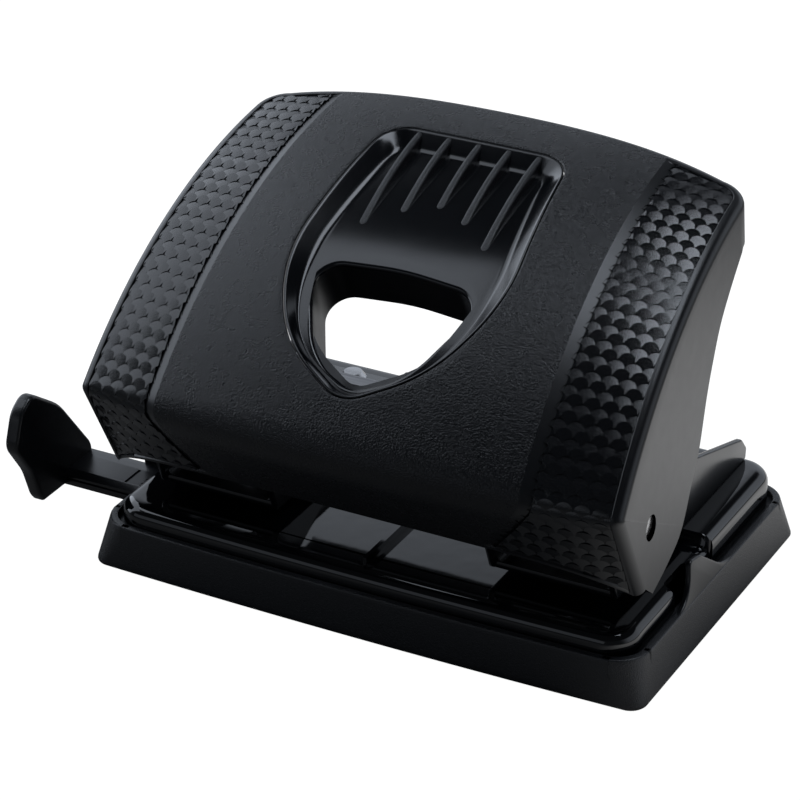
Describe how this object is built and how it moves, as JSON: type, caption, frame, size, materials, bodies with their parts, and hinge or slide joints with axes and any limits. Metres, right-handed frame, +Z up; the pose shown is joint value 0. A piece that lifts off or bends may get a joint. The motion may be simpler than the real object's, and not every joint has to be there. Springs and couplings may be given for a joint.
{
  "type": "two-hole punch",
  "caption": "Desk hole punch with a wide sprung lever handle, finger window, pressed steel base, chip tray and sliding paper guide.",
  "frame": {"origin": "on the floor under the middle of the base", "axes": "+X along the base to the user's right, +Y to the back, away from the side where paper goes in, +Z up"},
  "size_m": [0.1555, 0.1029, 0.0961],
  "materials": {
    "tray_plastic": "fine-grain matte black moulding",
    "gloss_paint": "gloss black enamel",
    "bracket_paint": "satin black enamel",
    "bright_steel": "ground steel",
    "spring_steel": "oiled spring steel",
    "lever_steel": "plain pressed steel",
    "handle_plastic": "fine-grain black moulding with satin bands and scale-pattern sides",
    "insert_plastic": "satin to gloss black moulding",
    "guide_plastic": "fine-grain black moulding",
    "inner_plastic": "plain black moulding"
  },
  "bodies": {
    "tray": {"chip_tray": "tray_plastic"},
    "mechanism": {"base_plate": "gloss_paint", "bracket_left": "bracket_paint", "bracket_right": "bracket_paint", "bracket_rivets": "bright_steel", "die_left": "bright_steel", "die_right": "bright_steel", "guide_bush_left": "bright_steel", "guide_bush_right": "bright_steel", "punch_spring_left": "spring_steel", "punch_spring_right": "spring_steel", "hinge_pin_left": "bright_steel", "hinge_pin_right": "bright_steel", "hinge_spacers": "inner_plastic", "pin_clips": "spring_steel", "guide_channel": "inner_plastic", "guide_detent": "spring_steel"},
    "handle": {"handle_shell": "handle_plastic", "grip_insert": "insert_plastic", "pressure_lever": "lever_steel", "lever_screws": "bright_steel"},
    "punch_l": {"punch_left": "bright_steel", "punch_clip_left": "spring_steel"},
    "punch_r": {"punch_right": "bright_steel", "punch_clip_right": "spring_steel"},
    "guide": {"paper_guide": "guide_plastic"}
  },
  "joints": [
    {"name": "tray_release", "type": "slide", "parent": "tray", "child": "mechanism", "axis": [0, 0, 1], "range_m": [0, 0.03]},
    {"name": "handle_press", "type": "hinge", "parent": "mechanism", "child": "handle", "pos_m": [0, -0.0332, 0.0389], "axis": [-1, 0, 0], "range_deg": [0, 18], "stiffness_Nm_per_rad": 1.2, "springref_deg": -17.19},
    {"name": "punch_left_slide", "type": "slide", "parent": "mechanism", "child": "punch_l", "axis": [0, 0, -1], "range_m": [0, 0.0075], "deforming": ["punch_spring_left"]},
    {"name": "punch_right_slide", "type": "slide", "parent": "mechanism", "child": "punch_r", "axis": [0, 0, -1], "range_m": [0, 0.0075], "deforming": ["punch_spring_right"]},
    {"name": "guide_slide", "type": "slide", "parent": "mechanism", "child": "guide", "axis": [-1, 0, 0], "range_m": [-0.0135, 0.0645]}
  ],
  "couplings": [
    {"joint": "punch_left_slide", "follows": "handle_press", "m_per_rad": 0.0232},
    {"joint": "punch_right_slide", "follows": "handle_press", "m_per_rad": 0.0232}
  ]
}
